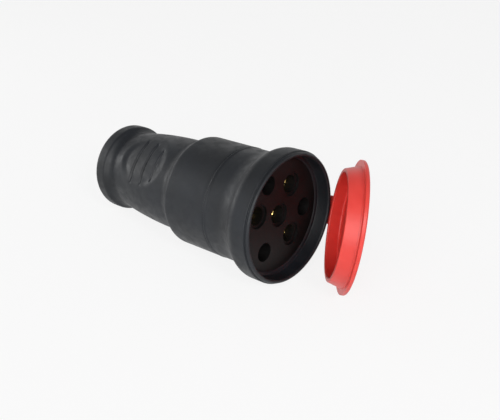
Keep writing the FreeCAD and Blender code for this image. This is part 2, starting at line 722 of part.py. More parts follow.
clamp_screw_places = [(f"{side} * {SCREW_REACH}", BAR_MIDDLE, "clamp_screw_radius + thread_gap")
                      for side in (-1, 1)]
for bar in (clamp_frame, clamp_saddle):
    cross_drill(bar, "XZ_Plane", clamp_screw_places, f"2 * {BAR_OUTSIDE} + clamp_gap", both_ways=True)
    keep(bar, turned_by(value(CLAMP_ANGLE)))
for name, side in (("upper", 1), ("lower", -1)):
    screw = make_screw(f"clamp_screw_{name}", "clamp_screw", "clamp")
    seat = FreeCAD.Placement(
        FreeCAD.Vector(side * value(SCREW_REACH), value(BAR_OUTSIDE), value(BAR_MIDDLE)),
        FreeCAD.Rotation(FreeCAD.Vector(0, 0, 1), FreeCAD.Vector(0, -1, 0)))
    keep(screw, turned_by(value(CLAMP_ANGLE)).multiply(seat))

# Cap
# One flexible moulding: a flange that covers the rim, a skirt that plugs the
# mouth and a tab towards the hinge. It is drawn with its outer face at zero, and
# its X points at the hinge.
HINGE_LEVEL = "(hinge_set_back + cap_flange + cap_gap)"
SKIRT_TIP = "(cap_flange + skirt_depth)"
cap = new_body("cap")
turn_profile(cap, [
    ("0", "0"),
    (f"{CAP_RADIUS} - cap_rounding", "0"),
    (CAP_RADIUS, "cap_rounding", "cap_rounding", 1),
    (CAP_RADIUS, "cap_flange"),
    (SKIRT_RADIUS, "cap_flange"),
    (SKIRT_TIP_RADIUS, f"{SKIRT_TIP} - skirt_rounding"),
    (f"{SKIRT_TIP_RADIUS} - skirt_rounding", SKIRT_TIP, "skirt_rounding", 1),
    (f"{SKIRT_TIP_RADIUS} - skirt_wall + skirt_rounding", SKIRT_TIP),
    (f"{SKIRT_TIP_RADIUS} - skirt_wall", f"{SKIRT_TIP} - skirt_rounding", "skirt_rounding", 1),
    (f"{SKIRT_RADIUS} - skirt_wall", "cap_panel + recess_rounding"),
    (f"{SKIRT_RADIUS} - skirt_wall - recess_rounding", "cap_panel", "recess_rounding", -1),
    ("0", "cap_panel"),
])
pad(cap, "XZ_Plane", [
    (SKIRT_RADIUS, "cap_flange - cap_gap - strap_thickness"),
    (f"{RIM_RADIUS} + tab_reach", "cap_flange - cap_gap - strap_thickness"),
    (f"{HINGE_RADIUS} + hinge_web", f"{HINGE_LEVEL} - hinge_gap"),
    (f"{HINGE_RADIUS} - hinge_web", f"{HINGE_LEVEL} - hinge_gap"),
    (f"{RIM_RADIUS} + tab_reach - strap_thickness", "cap_flange - cap_gap"),
    (SKIRT_RADIUS, "cap_flange - cap_gap"),
], "strap_width", both_ways=True)
hinge = FreeCAD.Vector(value(HINGE_RADIUS), 0, value("hinge_set_back"))
hinge_axis = FreeCAD.Vector(0, -value("cos(hinge_skew * 1deg)"), -value("sin(hinge_skew * 1deg)"))
closed = moved_by(0, 0, -value("cap_flange + cap_gap"))
opened = FreeCAD.Placement(FreeCAD.Vector(), FreeCAD.Rotation(hinge_axis, value("cap_opening")), hinge)
keep(cap, turned_by(value("cap_angle")).multiply(opened).multiply(closed))

# Cap strap
# The strap's foot lies on the shell's boss under two screws and thins towards
# the hinge, where the same moulding goes on into the cap's tab.
cap_strap = new_body("cap_strap")
pad(cap_strap, "XZ_Plane", [
    (f"{HINGE_RADIUS} - hinge_web", "hinge_set_back"),
    (f"{HINGE_RADIUS} + hinge_web", "hinge_set_back"),
    (f"{BOSS_RADIUS} + strap_thickness", "strap_bend"),
    (f"{BOSS_RADIUS} + strap_thickness", "strap_foot_end - strap_thickness / 2"),
    (f"{BOSS_RADIUS} + strap_thickness / 2", "strap_foot_end", "strap_thickness / 2", 1),
    (BOSS_RADIUS, "strap_foot_end"),
    (BOSS_RADIUS, "strap_bend - strap_thickness / 2"),
], "strap_width", both_ways=True)
cross_drill(cap_strap, "YZ_Plane", strap_screw_places, HINGE_RADIUS)
keep(cap_strap, turned_by(value("cap_angle")))
for name, side in (("upper", -1), ("lower", 1)):
    screw = make_screw(f"strap_screw_{name}", "strap_screw", "strap")
    inwards = FreeCAD.Rotation(FreeCAD.Vector(0, 0, 1), FreeCAD.Vector(-1, 0, 0))
    seat = FreeCAD.Placement(FreeCAD.Vector(
        value(f"{BOSS_RADIUS} + strap_thickness"),
        side * value("strap_screw_spacing / 2"),
        value("strap_foot_end - strap_screw_inset")), inwards)
    keep(screw, turned_by(value("cap_angle")).multiply(seat))


def rest_tilt():
    """Return the angle that lays the collar's and the rear bead's edges on one plane."""
    drop = value("collar_rise")
    run = value("collar_sweep")
    collar = (drop ** 2 + run ** 2) / (2 * drop) * value("sweep_share")
    bead = value("bead_rounding")
    fall = value(f"{RIM_RADIUS} - {BEAD_RADIUS}") - collar + bead
    back = value(f"{REAR_END} - bead_rounding - collar_length")
    reach = math.hypot(fall, back)
    return math.acos((bead - collar) / reach) - math.atan2(back, fall)


def world_placement(tilt):
    """Return the placement that lays the connector down, mouth forward and tipped up."""
    matrix = FreeCAD.Matrix(
        -math.sin(tilt), 0, -math.cos(tilt), 0,
        0, 1, 0, 0,
        math.cos(tilt), 0, -math.sin(tilt), 0,
        0, 0, 0, 1)
    return FreeCAD.Placement(matrix)


def overall_box():
    """Return the closest box round all the pieces as they are placed."""
    box = FreeCAD.BoundBox()
    for piece, _ in pieces:
        box.add(piece.Shape.optimalBoundingBox(False, False))
    return box


doc.recompute()
lying = world_placement(rest_tilt())
for piece, place in pieces:
    piece.Placement = lying.multiply(place)
doc.recompute()
box = overall_box()
shift = FreeCAD.Placement(FreeCAD.Vector(-box.Center.x, -box.Center.y, -box.ZMin), FreeCAD.Rotation())
for piece, _ in pieces:
    piece.Placement = shift.multiply(piece.Placement)
doc.recompute()

for item in doc.Objects:
    if "Invalid" in item.State or "Error" in item.State:
        raise RuntimeError(f"{item.Label} failed: {item.State}")
for piece, _ in pieces:
    if piece.Shape.isNull() or not piece.Shape.isValid():
        raise RuntimeError(f"{piece.Label} has no valid shape")

os.makedirs("parts", exist_ok=True)
for piece, _ in pieces:
    piece.Shape.exportStep(f"parts/{piece.Label}.step")

# Places that joints, mounts and openings are read from, in the finished frame.
resting = shift.multiply(lying)
print("tilt", round(math.degrees(rest_tilt()), 3))
turned = resting.multiply(turned_by(value("cap_angle")))
print("hinge", turned.multVec(hinge))
print("hinge axis", turned.Rotation.multVec(hinge_axis))
for name, (across, along) in contact_places.items():
    print(f"contact {name}", resting.multVec(FreeCAD.Vector(value(across), value(along), value(SLEEVE_FRONT))))
print("rim", resting.multVec(FreeCAD.Vector()))
print("entry", resting.multVec(FreeCAD.Vector(0, 0, value(REAR_END))))
print("cap", cap.Placement.multVec(FreeCAD.Vector()), "lowest", cap.Shape.optimalBoundingBox(False, False).ZMin)
print("shell lowest", front_shell.Shape.optimalBoundingBox(False, False).ZMin,
      "handle lowest", rear_handle.Shape.optimalBoundingBox(False, False).ZMin)
print("pieces", len(pieces))
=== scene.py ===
import json
import logging
import math
from dataclasses import dataclass
from typing import Callable, NamedTuple, Sequence

import bmesh
import bpy
from mathutils import Matrix, Vector


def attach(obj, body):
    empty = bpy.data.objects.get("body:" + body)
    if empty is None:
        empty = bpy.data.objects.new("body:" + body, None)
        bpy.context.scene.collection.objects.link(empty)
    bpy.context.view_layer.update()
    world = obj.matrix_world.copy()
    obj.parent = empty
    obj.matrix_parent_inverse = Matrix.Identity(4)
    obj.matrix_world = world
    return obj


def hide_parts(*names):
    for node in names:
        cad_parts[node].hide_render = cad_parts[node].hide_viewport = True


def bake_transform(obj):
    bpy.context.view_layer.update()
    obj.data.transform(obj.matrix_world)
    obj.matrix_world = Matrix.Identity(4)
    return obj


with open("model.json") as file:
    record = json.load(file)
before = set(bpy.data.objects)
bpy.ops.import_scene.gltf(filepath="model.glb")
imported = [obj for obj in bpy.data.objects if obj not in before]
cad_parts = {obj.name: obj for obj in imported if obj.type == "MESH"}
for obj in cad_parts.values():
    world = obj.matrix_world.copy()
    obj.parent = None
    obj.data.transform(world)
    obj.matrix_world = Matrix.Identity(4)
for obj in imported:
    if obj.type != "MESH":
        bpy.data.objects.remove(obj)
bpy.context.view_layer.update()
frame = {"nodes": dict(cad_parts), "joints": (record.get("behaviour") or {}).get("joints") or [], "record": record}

LOG = logging.getLogger("inline_socket_connector")
MM = 0.001

Colour = tuple[float, float, float, float]
Pair = tuple[float, float]
Profile = list[Pair]


def linear(code: str) -> Colour:
    """Turn an sRGB hex colour into the linear colour that a shader takes.

    Args:
        code: Six hex digits, with or without a leading mark.

    Returns:
        Red, green, blue and an alpha of one.
    """
    digits = code.lstrip("#")
    channels = [int(digits[place:place + 2], 16) / 255 for place in (0, 2, 4)]
    curve = [c / 12.92 if c <= 0.04045 else ((c + 0.055) / 1.055) ** 2.4 for c in channels]
    return curve[0], curve[1], curve[2], 1.0


def cells(size_mm: float) -> float:
    """Return the texture scale, in cells per metre, of a pattern of a size in millimetres."""
    return 1.0 / (size_mm * MM)


def add_node(
    tree: bpy.types.NodeTree,
    kind: str,
    settings: dict[str | int, object] | None = None,
    links: dict[str | int, bpy.types.NodeSocket] | None = None,
) -> bpy.types.Node:
    """Add a node, set its properties and input values, and link its inputs.

    Args:
        tree: The node tree that takes the node.
        kind: Blender's type name of the node.
        settings: Values by property name, or by the name or number of an input.
        links: Output sockets by the name or number of the input that they feed.

    Returns:
        The new node.
    """
    node = tree.nodes.new(kind)
    for key, setting in (settings or {}).items():
        if isinstance(key, str) and hasattr(node, key):
            setattr(node, key, setting)
        else:
            node.inputs[key].default_value = setting
    for key, source in (links or {}).items():
        tree.links.new(source, node.inputs[key])
    return node


@dataclass(frozen=True)
class Finish:
    """A finish that a piece of the connector can have."""

    name: str = "finish"

    def shade(self, tree: bpy.types.NodeTree, place: bpy.types.NodeSocket) -> bpy.types.Node:
        """Build the shader of this finish.

        Args:
            tree: The material's node tree.
            place: The surface's own coordinates, in metres.

        Returns:
            The shader's node.
        """
        raise NotImplementedError

    def material(self) -> bpy.types.Material:
        """Make the finish's material when it is first asked for.

        Returns:
            The material.
        """
        made = bpy.data.materials.get(self.name)
        if made is not None:
            return made
        made = bpy.data.materials.new(self.name)
        made.use_nodes = True
        tree = made.node_tree
        tree.nodes.clear()
        place = add_node(tree, "ShaderNodeTexCoord").outputs["Object"]
        shader = self.shade(tree, place)
        add_node(tree, "ShaderNodeOutputMaterial", links={"Surface": shader.outputs[0]})
        return made


@dataclass(frozen=True)
class MouldedRubber(Finish):
    """Natural rubber blend, compression moulded in a blasted steel mould.

    The eye gets a soft satin charcoal: a broad sheen that is a little uneven from
    the mould, a fine grain, and paler rub marks where hands have polished it.
    """

    name: str = "moulded_rubber"
    deep: str = "#101317"
    pale: str = "#181c22"
    cloud_mm: float = 22.0
    grain_mm: float = 0.55
    grain_depth_mm: float = 0.02
    rub_mm: float = 5.0
    rub_depth_mm: float = 0.05
    smooth: float = 0.44
    rough: float = 0.58
    ior: float = 1.52
    gloss: float = 0.4

    def shade(self, tree: bpy.types.NodeTree, place: bpy.types.NodeSocket) -> bpy.types.Node:
        """Build the rubber's shader. The grain is drawn coarser than a mould's 0.1 mm, so it shows.

        Args:
            tree: The material's node tree.
            place: The surface's own coordinates, in metres.

        Returns:
            The shader's node.
        """
        cloud = add_node(tree, "ShaderNodeTexNoise", {"Scale": cells(self.cloud_mm), "Detail": 3.0},
                         {"Vector": place})
        grain = add_node(tree, "ShaderNodeTexNoise", {"Scale": cells(self.grain_mm), "Detail": 2.0},
                         {"Vector": place})
        rub = add_node(tree, "ShaderNodeTexNoise",
                       {"Scale": cells(self.rub_mm), "Detail": 5.0, "Distortion": 0.6},
                       {"Vector": place})
        tone = add_node(tree, "ShaderNodeMapRange",
                        {"From Min": 0.3, "From Max": 0.7}, {"Value": cloud.outputs["Fac"]})
        colour = add_node(tree, "ShaderNodeMix",
                          {"data_type": "RGBA", 6: linear(self.deep), 7: linear(self.pale)},
                          {0: tone.outputs["Result"]})
        sheen = add_node(tree, "ShaderNodeMapRange",
                         {"From Min": 0.35, "From Max": 0.65,
                          "To Min": self.smooth, "To Max": self.rough},
                         {"Value": rub.outputs["Fac"]})
        swell = add_node(tree, "ShaderNodeBump", {"Strength": 0.35, "Distance": self.rub_depth_mm * MM},
                         {"Height": rub.outputs["Fac"]})
        bump = add_node(tree, "ShaderNodeBump", {"Strength": 0.5, "Distance": self.grain_depth_mm * MM},
                        {"Height": grain.outputs["Fac"], "Normal": swell.outputs["Normal"]})
        return add_node(tree, "ShaderNodeBsdfPrincipled",
                        {"IOR": self.ior, "Specular IOR Level": self.gloss},
                        {"Base Color": colour.outputs[2], "Roughness": sheen.outputs["Result"],
                         "Normal": bump.outputs["Normal"]})


@dataclass(frozen=True)
class PhenolicMoulding(Finish):
    """Wood-filled phenolic, compression moulded in a polished mould.

    The eye gets a near-black brown with a faint mottle of the filler under a
    half-gloss skin.
    """

    name: str = "phenolic_moulding"
    deep: str = "#080707"
    pale: str = "#110f0f"
    mottle_mm: float = 0.9
    mottle_depth_mm: float = 0.01
    flow_mm: float = 9.0
    smooth: float = 0.48
    rough: float = 0.60
    ior: float = 1.6
    gloss: float = 0.25

    def shade(self, tree: bpy.types.NodeTree, place: bpy.types.NodeSocket) -> bpy.types.Node:
        """Build the phenolic's shader.

        Args:
            tree: The material's node tree.
            place: The surface's own coordinates, in metres.

        Returns:
            The shader's node.
        """
        mottle = add_node(tree, "ShaderNodeTexNoise",
                          {"Scale": cells(self.mottle_mm), "Detail": 4.0}, {"Vector": place})
        flow = add_node(tree, "ShaderNodeTexNoise",
                        {"Scale": cells(self.flow_mm), "Detail": 2.0, "Distortion": 1.2},
                        {"Vector": place})
        blend = add_node(tree, "ShaderNodeMath", {"operation": "MULTIPLY"},
                         {0: mottle.outputs["Fac"], 1: flow.outputs["Fac"]})
        tone = add_node(tree, "ShaderNodeMapRange",
                        {"From Min": 0.15, "From Max": 0.4}, {"Value": blend.outputs["Value"]})
        colour = add_node(tree, "ShaderNodeMix",
                          {"data_type": "RGBA", 6: linear(self.deep), 7: linear(self.pale)},
                          {0: tone.outputs["Result"]})
        sheen = add_node(tree, "ShaderNodeMapRange",
                         {"To Min": self.smooth, "To Max": self.rough},
                         {"Value": flow.outputs["Fac"]})
        bump = add_node(tree, "ShaderNodeBump", {"Strength": 0.3, "Distance": self.mottle_depth_mm * MM},
                        {"Height": mottle.outputs["Fac"]})
        return add_node(tree, "ShaderNodeBsdfPrincipled",
                        {"IOR": self.ior, "Specular IOR Level": self.gloss},
                        {"Base Color": colour.outputs[2], "Roughness": sheen.outputs["Result"],
                         "Normal": bump.outputs["Normal"]})


@dataclass(frozen=True)
class MouldedPolythene(Finish):
    """Low-density polythene, injection moulded and coloured through.

    The eye gets a warm, waxy red: a soft sheen, faint flow marks and a fine
    eroded grain, with a little light carried inside the plastic.
    """

    name: str = "moulded_polythene"
    deep: str = "#dc3a33"
    pale: str = "#ea4a41"
    flow_mm: float = 14.0
    grain_mm: float = 0.6
    grain_depth_mm: float = 0.02
    smooth: float = 0.34
    rough: float = 0.46
    ior: float = 1.51
    haze: float = 0.12
    haze_mm: float = 1.2

    def shade(self, tree: bpy.types.NodeTree, place: bpy.types.NodeSocket) -> bpy.types.Node:
        """Build the polythene's shader. The grain is drawn coarse enough to show.

        Args:
            tree: The material's node tree.
            place: The surface's own coordinates, in metres.

        Returns:
            The shader's node.
        """
        flow = add_node(tree, "ShaderNodeTexNoise",
                        {"Scale": cells(self.flow_mm), "Detail": 3.0, "Distortion": 1.5},
                        {"Vector": place})
        grain = add_node(tree, "ShaderNodeTexNoise", {"Scale": cells(self.grain_mm), "Detail": 2.0},
                         {"Vector": place})
        colour = add_node(tree, "ShaderNodeMix",
                          {"data_type": "RGBA", 6: linear(self.deep), 7: linear(self.pale)},
                          {0: flow.outputs["Fac"]})
        sheen = add_node(tree, "ShaderNodeMapRange",
                         {"To Min": self.smooth, "To Max": self.rough},
                         {"Value": flow.outputs["Fac"]})
        bump = add_node(tree, "ShaderNodeBump", {"Strength": 0.35, "Distance": self.grain_depth_mm * MM},
                        {"Height": grain.outputs["Fac"]})
        return add_node(tree, "ShaderNodeBsdfPrincipled",
                        {"IOR": self.ior, "Subsurface Weight": self.haze,
                         "Subsurface Scale": self.haze_mm * MM},
                        {"Base Color": colour.outputs[2], "Roughness": sheen.outputs["Result"],
                         "Normal": bump.outputs["Normal"]})


@dataclass(frozen=True)
class TurnedMetal(Finish):
    """Metal bar turned on an automatic lathe.

    The eye gets bright metal with fine tool rings and a slightly cloudy tarnish.
    The rings run across X, which the connector's axis follows to within 5 degrees.
    """

    name: str = "turned_brass"
    bright: str = "#ecd08a"
    dull: str = "#b8924a"
    ring_mm: float = 0.35
    tarnish_mm: float = 1.6
    smooth: float = 0.14
    rough: float = 0.30
    ring_depth_mm: float = 0.01

    def shade(self, tree: bpy.types.NodeTree, place: bpy.types.NodeSocket) -> bpy.types.Node:
        """Build the metal's shader. Tool rings are drawn coarser than a lathe's feed.

        Args:
            tree: The material's node tree.
            place: The surface's own coordinates, in metres.

        Returns:
            The shader's node.
        """
        rings = add_node(tree, "ShaderNodeTexWave",
                         {"bands_direction": "X", "Scale": cells(self.ring_mm) / math.tau},
                         {"Vector": place})
        tarnish = add_node(tree, "ShaderNodeTexNoise",
                           {"Scale": cells(self.tarnish_mm), "Detail": 4.0}, {"Vector": place})
        colour = add_node(tree, "ShaderNodeMix",
                          {"data_type": "RGBA", 6: linear(self.bright), 7: linear(self.dull)},
                          {0: tarnish.outputs["Fac"]})
        sheen = add_node(tree, "ShaderNodeMapRange",
                         {"To Min": self.smooth, "To Max": self.rough},
                         {"Value": tarnish.outputs["Fac"]})
        bump = add_node(tree, "ShaderNodeBump", {"Strength": 0.25, "Distance": self.ring_depth_mm * MM},
                        {"Height": rings.outputs["Fac"]})
        return add_node(tree, "ShaderNodeBsdfPrincipled", {"Metallic": 1.0},
                        {"Base Color": colour.outputs[2], "Roughness": sheen.outputs["Result"],
                         "Normal": bump.outputs["Normal"]})


RUBBER = MouldedRubber()
PHENOLIC = PhenolicMoulding()
RED_PLASTIC = MouldedPolythene()
BRASS = TurnedMetal()
# Strip rolled bright and coiled into split rings: a grey steel with faint lines.
SPRING_STEEL = TurnedMetal("rolled_spring_steel", bright="#9a9da1", dull="#6f7276",
                           ring_mm=0.5, tarnish_mm=2.0, smooth=0.24, rough=0.38)
# Steel screws and pressings with a thin zinc plate: a pale, cloudy, slightly warm grey.
ZINC_STEEL = TurnedMetal("zinc_plated_steel", bright="#c4c6c2", dull="#94958e",
                         ring_mm=0.4, tarnish_mm=1.2, smooth=0.26, rough=0.44)


@dataclass(frozen=True)
class ConnectorAxes:
    """The connector's own directions as it lies: from the rim's centre, in metres."""

    rim: Vector
    back: Vector
    up: Vector
    far: Vector

    @classmethod
    def from_frame(cls, mouth_rounding_mm: float = 0.6) -> "ConnectorAxes":
        """Read the directions from the mouth's mount.

        Args:
            mouth_rounding_mm: How far the mount lies behind the rim's plane.

        Returns:
            The axes.
        """
        mouth = next(m for m in frame["record"]["mounts"] if m["name"] == "mouth")
        front = Vector(mouth["axis"]).normalized()
        far = Vector((0.0, 1.0, 0.0))
        rim = Vector(mouth["pos_m"]) + front * (mouth_rounding_mm * MM)
        return cls(rim, -front, front.cross(far), far)

    def at(self, back_mm: float, radius_mm: float, angle_deg: float) -> Vector:
        """Work out a place in the connector's own measures.

        Args:
            back_mm: How far behind the rim's plane it lies.
            radius_mm: Its distance from the axis.
            angle_deg: Its angle from up to the far side.

        Returns:
            The place, in metres.
        """
        angle = math.radians(angle_deg)
        spoke = self.up * math.cos(angle) + self.far * math.sin(angle)
        return self.rim + self.back * (back_mm * MM) + spoke * (radius_mm * MM)


AXES = ConnectorAxes.from_frame()


def make_piece(name: str, mesh: bpy.types.Mesh, finish: Finish) -> bpy.types.Object:
    """Put a mesh in the scene with a finish.

    Args:
        name: The piece's name.
        mesh: Its mesh, in place.
        finish: What it is made of.

    Returns:
        The piece.
    """
    piece = bpy.data.objects.new(name, mesh)
    bpy.context.scene.collection.objects.link(piece)
    mesh.materials.append(finish.material())
    mesh.shade_smooth()
    LOG.info("%s: %d faces of %s", name, len(mesh.polygons), finish.name)
    return piece


def loft(name: str, rings: Sequence[Sequence[Vector]], closed: bool = False) -> bpy.types.Mesh:
    """Join rings of points into a skin, with a cap on each end unless it closes on itself.

    Args:
        name: The mesh's name.
        rings: Rings with the same number of points.
        closed: Whether the last ring joins the first.

    Returns:
        The mesh.
    """
    shell = bmesh.new()
    rows = [[shell.verts.new(point) for point in ring] for ring in rings]
    following_rows = rows[1:] + rows[:1] if closed else rows[1:]
    for row, following in zip(rows, following_rows):
        for index in range(len(row)):
            nxt = (index + 1) % len(row)
            shell.faces.new((row[index], row[nxt], following[nxt], following[index]))
    if not closed:
        shell.faces.new(list(reversed(rows[0])))
        shell.faces.new(rows[-1])
    bmesh.ops.recalc_face_normals(shell, faces=shell.faces)
    mesh = bpy.data.meshes.new(name)
    shell.to_mesh(mesh)
    shell.free()
    return mesh


def dress(nodes: Sequence[str], finish: Finish) -> None:
    """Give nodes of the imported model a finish.

    Args:
        nodes: The nodes' names.
        finish: What they are made of.
    """
    for name in nodes:
        mesh = frame["nodes"][name].data
        mesh.materials.clear()
        mesh.materials.append(finish.material())
        LOG.info("%s: %s", name, finish.name)


def nodes_like(*starts: str) -> list[str]:
    """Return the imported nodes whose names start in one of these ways."""
    return sorted(name for name in frame["nodes"] if name.startswith(starts))


def arc(centre: Pair, reach: Pair, turn: Pair, steps: int) -> Profile:
    """Work out points along part of an oval in a turned outline.

    Args:
        centre: How far back the oval's centre lies, and its radius from the axis, in mm.
        reach: The oval's half length along the axis and its half height, in mm.
        turn: First and last angle in degrees: 0 points away from the axis, 90 to the mouth.
        steps: How many stretches the points divide it into.

    Returns:
        Pairs of distance back and radius.
    """
    points = []
    for step in range(steps + 1):
        angle = math.radians(turn[0] + (turn[1] - turn[0]) * step / steps)
        points.append((centre[0] - reach[0] * math.sin(angle), centre[1] + reach[1] * math.cos(angle)))
    return points


def straight(start: Pair, end: Pair, pitch_mm: float) -> Profile:
    """Divide a straight stretch of an outline, its start left out.

    Args:
        start: Distance back and radius of its start, in mm.
        end: The same of its end.
        pitch_mm: The longest that a division may be.

    Returns:
        Pairs of distance back and radius.
    """
    count = max(1, math.ceil(math.dist(start, end) / pitch_mm))
    return [tuple(a + (b - a) * step / count for a, b in zip(start, end)) for step in range(1, count + 1)]


def sweep(start: Pair, end: Pair, share: float, steps: int) -> Profile:
    """Work out a moulding's S-curve of two tangent arcs, its start left out.

    Args:
        start: Distance back and radius of its start, in mm.
        end: The same of its end.
        share: The first arc's share of the curve.
        steps: How many stretches each arc is divided into.

    Returns:
        Pairs of distance back and radius.
    """
    run = end[0] - start[0]
    drop = start[1] - end[1]
    radius = (drop * drop + run * run) / (2 * drop)
    whole_turn = 2 * math.atan(drop / run)
    turns = [whole_turn * step / steps for step in range(steps + 1)]
    first_radius = radius * share
    second_radius = radius * (1 - share)
    first = [(start[0] + first_radius * math.sin(turn), start[1] - first_radius * (1 - math.cos(turn)))
             for turn in turns[1:]]
    second = [(end[0] - second_radius * math.sin(turn), end[1] + second_radius * (1 - math.cos(turn)))
              for turn in reversed(turns[:-1])]
    return first + second


def soft_step(place: float) -> float:
    """Return a step that is 0 up to 0 and 1 from 1, and eases in and out between them."""
    share = min(max(place, 0.0), 1.0)
    return share * share * (3.0 - 2.0 * share)


def soft_top(one: float, other: float, ease: float) -> float:
    """Return the higher of two surfaces, with a fillet of about an ease where they meet."""
    share = min(max(0.5 + 0.5 * (one - other) / ease, 0.0), 1.0)
    return other + (one - other) * share + ease * share * (1.0 - share)


def turned_skin(
    name: str,
    outer: Profile,
    inner: Profile,
    relief: Callable[[float, float, float], float],
    spokes: int,
) -> bpy.types.Mesh:
    """Turn a closed outline about the connector's axis, with a relief on its outer side.

    Args:
        name: The mesh's name.
        outer: The outer side, from the front: pairs of distance back and radius, in mm.
        inner: The inner side, on from the outer one's end and back to its start.
        relief: Gives the outer side's radius from a distance, a radius and an angle in degrees.
        spokes: How many points go round.

    Returns:
        The mesh.
    """
    angles = [360.0 * spoke / spokes for spoke in range(spokes)]
    rings = [[AXES.at(back, relief(back, radius, angle), angle) for angle in angles]
             for back, radius in outer]
    rings += [[AXES.at(back, radius, angle) for angle in angles] for back, radius in inner]
    return loft(name, rings, closed=True)


@dataclass
class FrontShell:
    """The collar round the mouth, its sweep down to the barrel and the strap's boss.

    Radii are from the connector's axis, and distances back are from the rim.
    """

    rim_mm: float = 34.0
    mouth_mm: float = 31.35
    barrel_mm: float = 29.4
    bore_mm: float = 27.4
    rib_mm: float = 26.7
    collar_end_mm: float = 9.0
    collar_pitch_mm: float = 1.0
    sweep_end_mm: float = 23.0
    sweep_share: float = 0.3
    sweep_steps: int = 18
    barrel_pitch_mm: float = 0.5
    seam_mm: float = 32.6
    flare_mm: float = 0.3
    flare_length_mm: float = 2.0
    flare_share: float = 0.5
    seam_rounding_mm: float = 0.45
    seam_turn_deg: Pair = (-20.0, -90.0)
    seam_steps: int = 4
    lip_half_width_mm: float = 1.0
    lip_length_mm: float = 1.2
    lip_turn_deg: Pair = (180.0, -15.0)
    lip_steps: int = 14
    groove_back_mm: float = 1.85
    groove_radius_mm: float = 33.1
    groove_floor_mm: float = 0.2
    groove_slope_mm: Pair = (0.15, 0.2)
    edge_mm: float = 0.35
    edge_turn_deg: Pair = (60.0, 0.0)
    edge_steps: int = 3
    ledge_back_mm: float = 7.6
    ledge_mm: float = 29.4
    corner_mm: float = 0.5
    corner_cut_mm: float = 0.15
    seat_back_mm: float = 12.2
    rib_back_mm: float = 20.2
    boss_angle_deg: float = 108.27
    boss_reach_deg: float = 60.0
    boss_top_mm: float = 36.2
    boss_half_width_mm: float = 9.75
    boss_front_mm: float = 11.2
    boss_rounding_mm: float = 0.9
    boss_end_mm: float = 23.8
    boss_foot_mm: float = 28.8
    fillet_mm: float = 0.5
    least_sine: float = 0.001
    spokes: int = 360

    def lip(self) -> Profile:
        """Draw the rolled lip, the narrow groove behind it and the collar's edge.

        Returns:
            Their outline, from the mouth's wall.
        """
        centre = (self.lip_length_mm, self.mouth_mm + self.lip_half_width_mm)
        reach = (self.lip_length_mm, self.lip_half_width_mm)
        edge_back = self.groove_back_mm + self.groove_slope_mm[0]
        edge_start = self.rim_mm - self.edge_mm
        points = arc(centre, reach, self.lip_turn_deg, self.lip_steps)
        points += [(self.groove_back_mm - self.groove_floor_mm, self.groove_radius_mm),
                   (self.groove_back_mm, self.groove_radius_mm),
                   (edge_back, self.groove_radius_mm + self.groove_slope_mm[1]),
                   (edge_back, edge_start)]
        points += arc((edge_back + self.edge_mm, edge_start), (self.edge_mm, self.edge_mm),
                      self.edge_turn_deg, self.edge_steps)
        return points

    def outer(self) -> Profile:
        """Draw the outer side.

        Returns:
            Its outline, from the mouth's wall over the lip to the seam.
        """
        collar_end = (self.collar_end_mm, self.rim_mm)
        sweep_end = (self.sweep_end_mm, self.barrel_mm)
        barrel_end = (self.seam_mm - self.flare_length_mm, self.barrel_mm)
        flare_end = (self.seam_mm - self.seam_rounding_mm, self.barrel_mm + self.flare_mm)
        points = self.lip()
        points += straight(points[-1], collar_end, self.collar_pitch_mm)
        points += sweep(collar_end, sweep_end, self.sweep_share, self.sweep_steps)
        points += straight(sweep_end, barrel_end, self.barrel_pitch_mm)
        points += sweep(barrel_end, flare_end, self.flare_share, self.seam_steps)
        points += arc((flare_end[0], flare_end[1] - self.seam_rounding_mm),
                      (self.seam_rounding_mm, self.seam_rounding_mm), self.seam_turn_deg, self.seam_steps)
        return points

    def inner(self) -> Profile:
        """Draw the inner side, with the ledge and the rib that hold the insert.

        Returns:
            Its outline, from the seam to the mouth's wall.
        """
        return [
            (self.seam_mm, self.bore_mm),
            (self.rib_back_mm, self.bore_mm),
            (self.rib_back_mm, self.rib_mm),
            (self.seat_back_mm, self.rib_mm),
            (self.seat_back_mm, self.ledge_mm),
            (self.ledge_back_mm, self.ledge_mm),
            (self.ledge_back_mm, self.mouth_mm - self.corner_mm),
            (self.ledge_back_mm - self.corner_cut_mm, self.mouth_mm - self.corner_cut_mm),
            (self.ledge_back_mm - self.corner_mm, self.mouth_mm),
        ]

    def boss(self, back: float, radius: float, angle: float) -> float:
        """Raise the strap's boss from the outer side.

        Args:
            back: Distance behind the rim, in mm.
            radius: The turned outline's radius there, in mm.
            angle: Angle from up to the far side, in degrees.

        Returns:
            The radius in mm.
        """
        off = math.radians(angle - self.boss_angle_deg)
        beside = math.cos(off) < math.cos(math.radians(self.boss_reach_deg))
        if beside or back < self.boss_front_mm or back > self.boss_foot_mm:
            return radius
        into = min(back - self.boss_front_mm, self.boss_rounding_mm) / self.boss_rounding_mm
        top = self.boss_top_mm - self.boss_rounding_mm * (1 - math.sqrt(1 - (1 - into) ** 2))
        run_out = max(0.0, back - self.boss_end_mm) / (self.boss_foot_mm - self.boss_end_mm)
        top -= run_out * (self.boss_top_mm - self.bore_mm)
        side = self.boss_half_width_mm / max(abs(math.sin(off)), self.least_sine)
        return max(radius, soft_top(radius, min(top / math.cos(off), side), self.fillet_mm))

    def build(self) -> bpy.types.Object:
        """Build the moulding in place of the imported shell.

        Returns:
            The piece.
        """
        mesh = turned_skin("front_shell_moulding", self.outer(), self.inner(), self.boss, self.spokes)
        shell = make_piece("front_shell_moulding", mesh, RUBBER)
        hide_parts("front_shell")
        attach(shell, "root")
        return shell


@dataclass(frozen=True)
class GripGroove:
    """One straight groove across a finger grip.

    Its offset is along the connector from the grip's middle. It is deepest halfway
    along its length and fades out towards both ends.
    """

    offset_mm: float
    length_mm: float
    depth_mm: float
    half_width_mm: float


